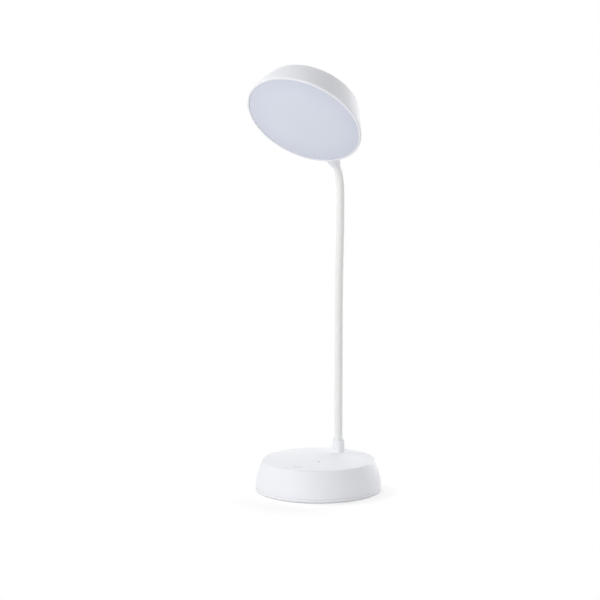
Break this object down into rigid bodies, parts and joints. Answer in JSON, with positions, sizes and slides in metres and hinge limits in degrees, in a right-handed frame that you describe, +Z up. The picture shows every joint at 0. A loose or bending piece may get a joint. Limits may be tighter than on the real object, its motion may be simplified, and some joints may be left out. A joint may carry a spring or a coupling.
{
  "type": "desk lamp",
  "caption": "Cordless desk lamp with a round weighted base, a bendable slim neck and a tilted round flat light with a frosted front.",
  "frame": {"origin": "centre of the round underside, on the surface that the lamp stands on", "axes": "+Z up, -Y towards the front that the light faces, +X to the right of someone who stands in front and looks at the lamp"},
  "size_m": [0.1146, 0.1191, 0.3816],
  "materials": {
    "white_plastic": "satin white moulded plastic",
    "foot_pad": "matt",
    "screws": "plain",
    "ballast": "zinc plated",
    "cell": "film wrapped",
    "inner_plastic": "moulded",
    "leads": "matt",
    "board": "varnished",
    "chips": "moulded",
    "copper": "bare copper foil",
    "foam": "conducting foam",
    "clear_plastic": "clear",
    "socket_metal": "stamped",
    "brass": "turned",
    "hose": "wound steel strip",
    "sleeve": "soft white",
    "diffuser": "frosted",
    "reflector": "film",
    "led": "phosphor"
  },
  "bodies": {
    "base": {"base_shell": "white_plastic", "base_cover": "white_plastic", "foot_pad": "foot_pad", "base_screws": "screws", "ballast_plate": "ballast", "ballast_screws": "screws", "battery_cell": "cell", "battery_holder": "inner_plastic", "base_leads": "leads", "main_board": "board", "board_chips": "chips", "board_screws": "screws", "touch_foil": "copper", "touch_foam": "foam", "light_pipe": "clear_plastic", "usb_socket": "socket_metal", "usb_board": "board", "base_collar": "white_plastic", "lower_ferrule": "brass", "neck_washer": "screws", "neck_nut": "brass", "lamp_lead": "leads", "neck_hose_1": "hose", "neck_sleeve_1": "sleeve"},
    "link_1": {"neck_hose_2": "hose", "neck_sleeve_2": "sleeve"},
    "link_2": {"neck_hose_3": "hose", "neck_sleeve_3": "sleeve"},
    "link_3": {"neck_hose_4": "hose", "neck_sleeve_4": "sleeve"},
    "link_4": {"neck_hose_5": "hose", "neck_sleeve_5": "sleeve"},
    "link_5": {"neck_hose_6": "hose", "neck_sleeve_6": "sleeve"},
    "link_6": {"neck_hose_7": "hose", "neck_sleeve_7": "sleeve"},
    "link_7": {"neck_hose_8": "hose", "neck_sleeve_8": "sleeve"},
    "link_8": {"neck_hose_9": "hose", "neck_sleeve_9": "sleeve"},
    "link_9": {"neck_hose_10": "hose", "neck_sleeve_10": "sleeve"},
    "link_10": {"neck_hose_11": "hose", "neck_sleeve_11": "sleeve"},
    "head": {"head_shell": "white_plastic", "diffuser": "diffuser", "light_guide": "clear_plastic", "reflector_sheet": "reflector", "panel_tray": "inner_plastic", "tray_screws": "screws", "led_strip": "inner_plastic", "led_chips": "led", "neck_clamp": "screws", "clamp_screws": "screws", "upper_ferrule": "brass", "head_leads": "leads", "neck_hose_12": "hose", "neck_sleeve_12": "sleeve"}
  },
  "joints": [
    {"name": "lower_neck_bend", "type": "hinge", "parent": "base", "child": "link_1", "pos_m": [0, 0.0361, 0.0486], "axis": [1, 0, 0], "range_deg": [-12, 15], "deforming": ["lamp_lead"]},
    {"name": "lower_neck_sway", "type": "hinge", "parent": "link_1", "child": "link_2", "pos_m": [0, 0.03635, 0.0722], "axis": [0, 0.9999, -0.0108], "range_deg": [-12, 12]},
    {"name": "lower_neck_bend_3", "type": "hinge", "parent": "link_2", "child": "link_3", "pos_m": [0, 0.03661, 0.0958], "axis": [1, 0, 0], "range_deg": [-12, 15]},
    {"name": "lower_neck_sway_4", "type": "hinge", "parent": "link_3", "child": "link_4", "pos_m": [0, 0.03687, 0.1194], "axis": [0, 0.9999, -0.0108], "range_deg": [-12, 12]},
    {"name": "lower_neck_bend_5", "type": "hinge", "parent": "link_4", "child": "link_5", "pos_m": [0, 0.03712, 0.14299], "axis": [1, 0, 0], "range_deg": [-12, 15]},
    {"name": "upper_neck_sway", "type": "hinge", "parent": "link_5", "child": "link_6", "pos_m": [0, 0.03744, 0.16659], "axis": [0, 0.9999, -0.0135], "range_deg": [-15, 15]},
    {"name": "upper_neck_bend", "type": "hinge", "parent": "link_6", "child": "link_7", "pos_m": [0, 0.03821, 0.19018], "axis": [1, 0, 0], "range_deg": [-20, 20]},
    {"name": "upper_neck_sway_8", "type": "hinge", "parent": "link_7", "child": "link_8", "pos_m": [0, 0.03948, 0.21374], "axis": [0, 0.9985, -0.0541], "range_deg": [-15, 15]},
    {"name": "upper_neck_bend_9", "type": "hinge", "parent": "link_8", "child": "link_9", "pos_m": [0, 0.0405, 0.23732], "axis": [1, 0, 0], "range_deg": [-20, 20]},
    {"name": "upper_neck_sway_10", "type": "hinge", "parent": "link_9", "child": "link_10", "pos_m": [0, 0.04082, 0.26092], "axis": [0, 0.9999, -0.0135], "range_deg": [-15, 15]},
    {"name": "upper_neck_bend_11", "type": "hinge", "parent": "link_10", "child": "head", "pos_m": [0, 0.03801, 0.28417], "axis": [1, 0, 0], "range_deg": [-20, 20]}
  ],
  "couplings": [
    {"joint": "lower_neck_bend_3", "follows": "lower_neck_bend", "ratio": 1},
    {"joint": "lower_neck_sway_4", "follows": "lower_neck_sway", "ratio": 1},
    {"joint": "lower_neck_bend_5", "follows": "lower_neck_bend", "ratio": 1},
    {"joint": "upper_neck_sway_8", "follows": "upper_neck_sway", "ratio": 1},
    {"joint": "upper_neck_bend_9", "follows": "upper_neck_bend", "ratio": 1},
    {"joint": "upper_neck_sway_10", "follows": "upper_neck_sway", "ratio": 1},
    {"joint": "upper_neck_bend_11", "follows": "upper_neck_bend", "ratio": 1}
  ]
}
